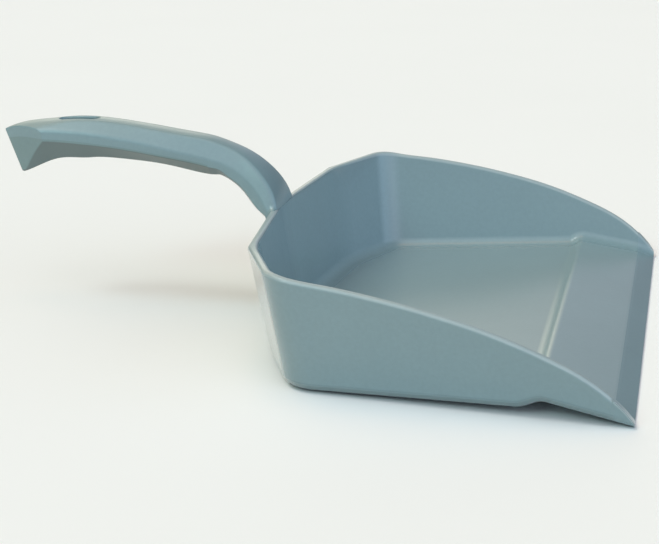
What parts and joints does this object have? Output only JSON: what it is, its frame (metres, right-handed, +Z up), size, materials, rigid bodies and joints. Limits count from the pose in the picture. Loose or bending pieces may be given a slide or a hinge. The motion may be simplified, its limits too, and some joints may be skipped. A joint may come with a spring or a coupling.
{
  "type": "dustpan",
  "caption": "Hand dustpan with a flat tray, ramped scraping lip, swept side walls and a rear handle on an arched neck, moulded in satin grey-blue plastic.",
  "frame": {"origin": "middle of the object's box in plan, on the surface it stands on; the lip and the heel of the tray touch that surface", "axes": "+Z up, -Y out of the mouth, +Y along the handle, X across the mouth; the left side wall, seen from the handle, is at +X"},
  "size_m": [0.3354, 0.3744, 0.1098],
  "materials": {
    "tray_plastic": "satin grey-blue injection-moulded polypropylene",
    "handle_plastic": "satin grey-blue injection-moulded polypropylene",
    "cover_plastic": "satin grey-blue injection-moulded polypropylene, slightly duller"
  },
  "bodies": {
    "root": {"tray_floor": "tray_plastic", "front_ramp": "tray_plastic", "front_lip": "tray_plastic", "left_side_wall": "tray_plastic", "right_side_wall": "tray_plastic", "rear_wall": "tray_plastic", "handle_neck": "handle_plastic", "grip_shell": "handle_plastic", "grip_underside_cover": "cover_plastic"}
  },
  "joints": []
}
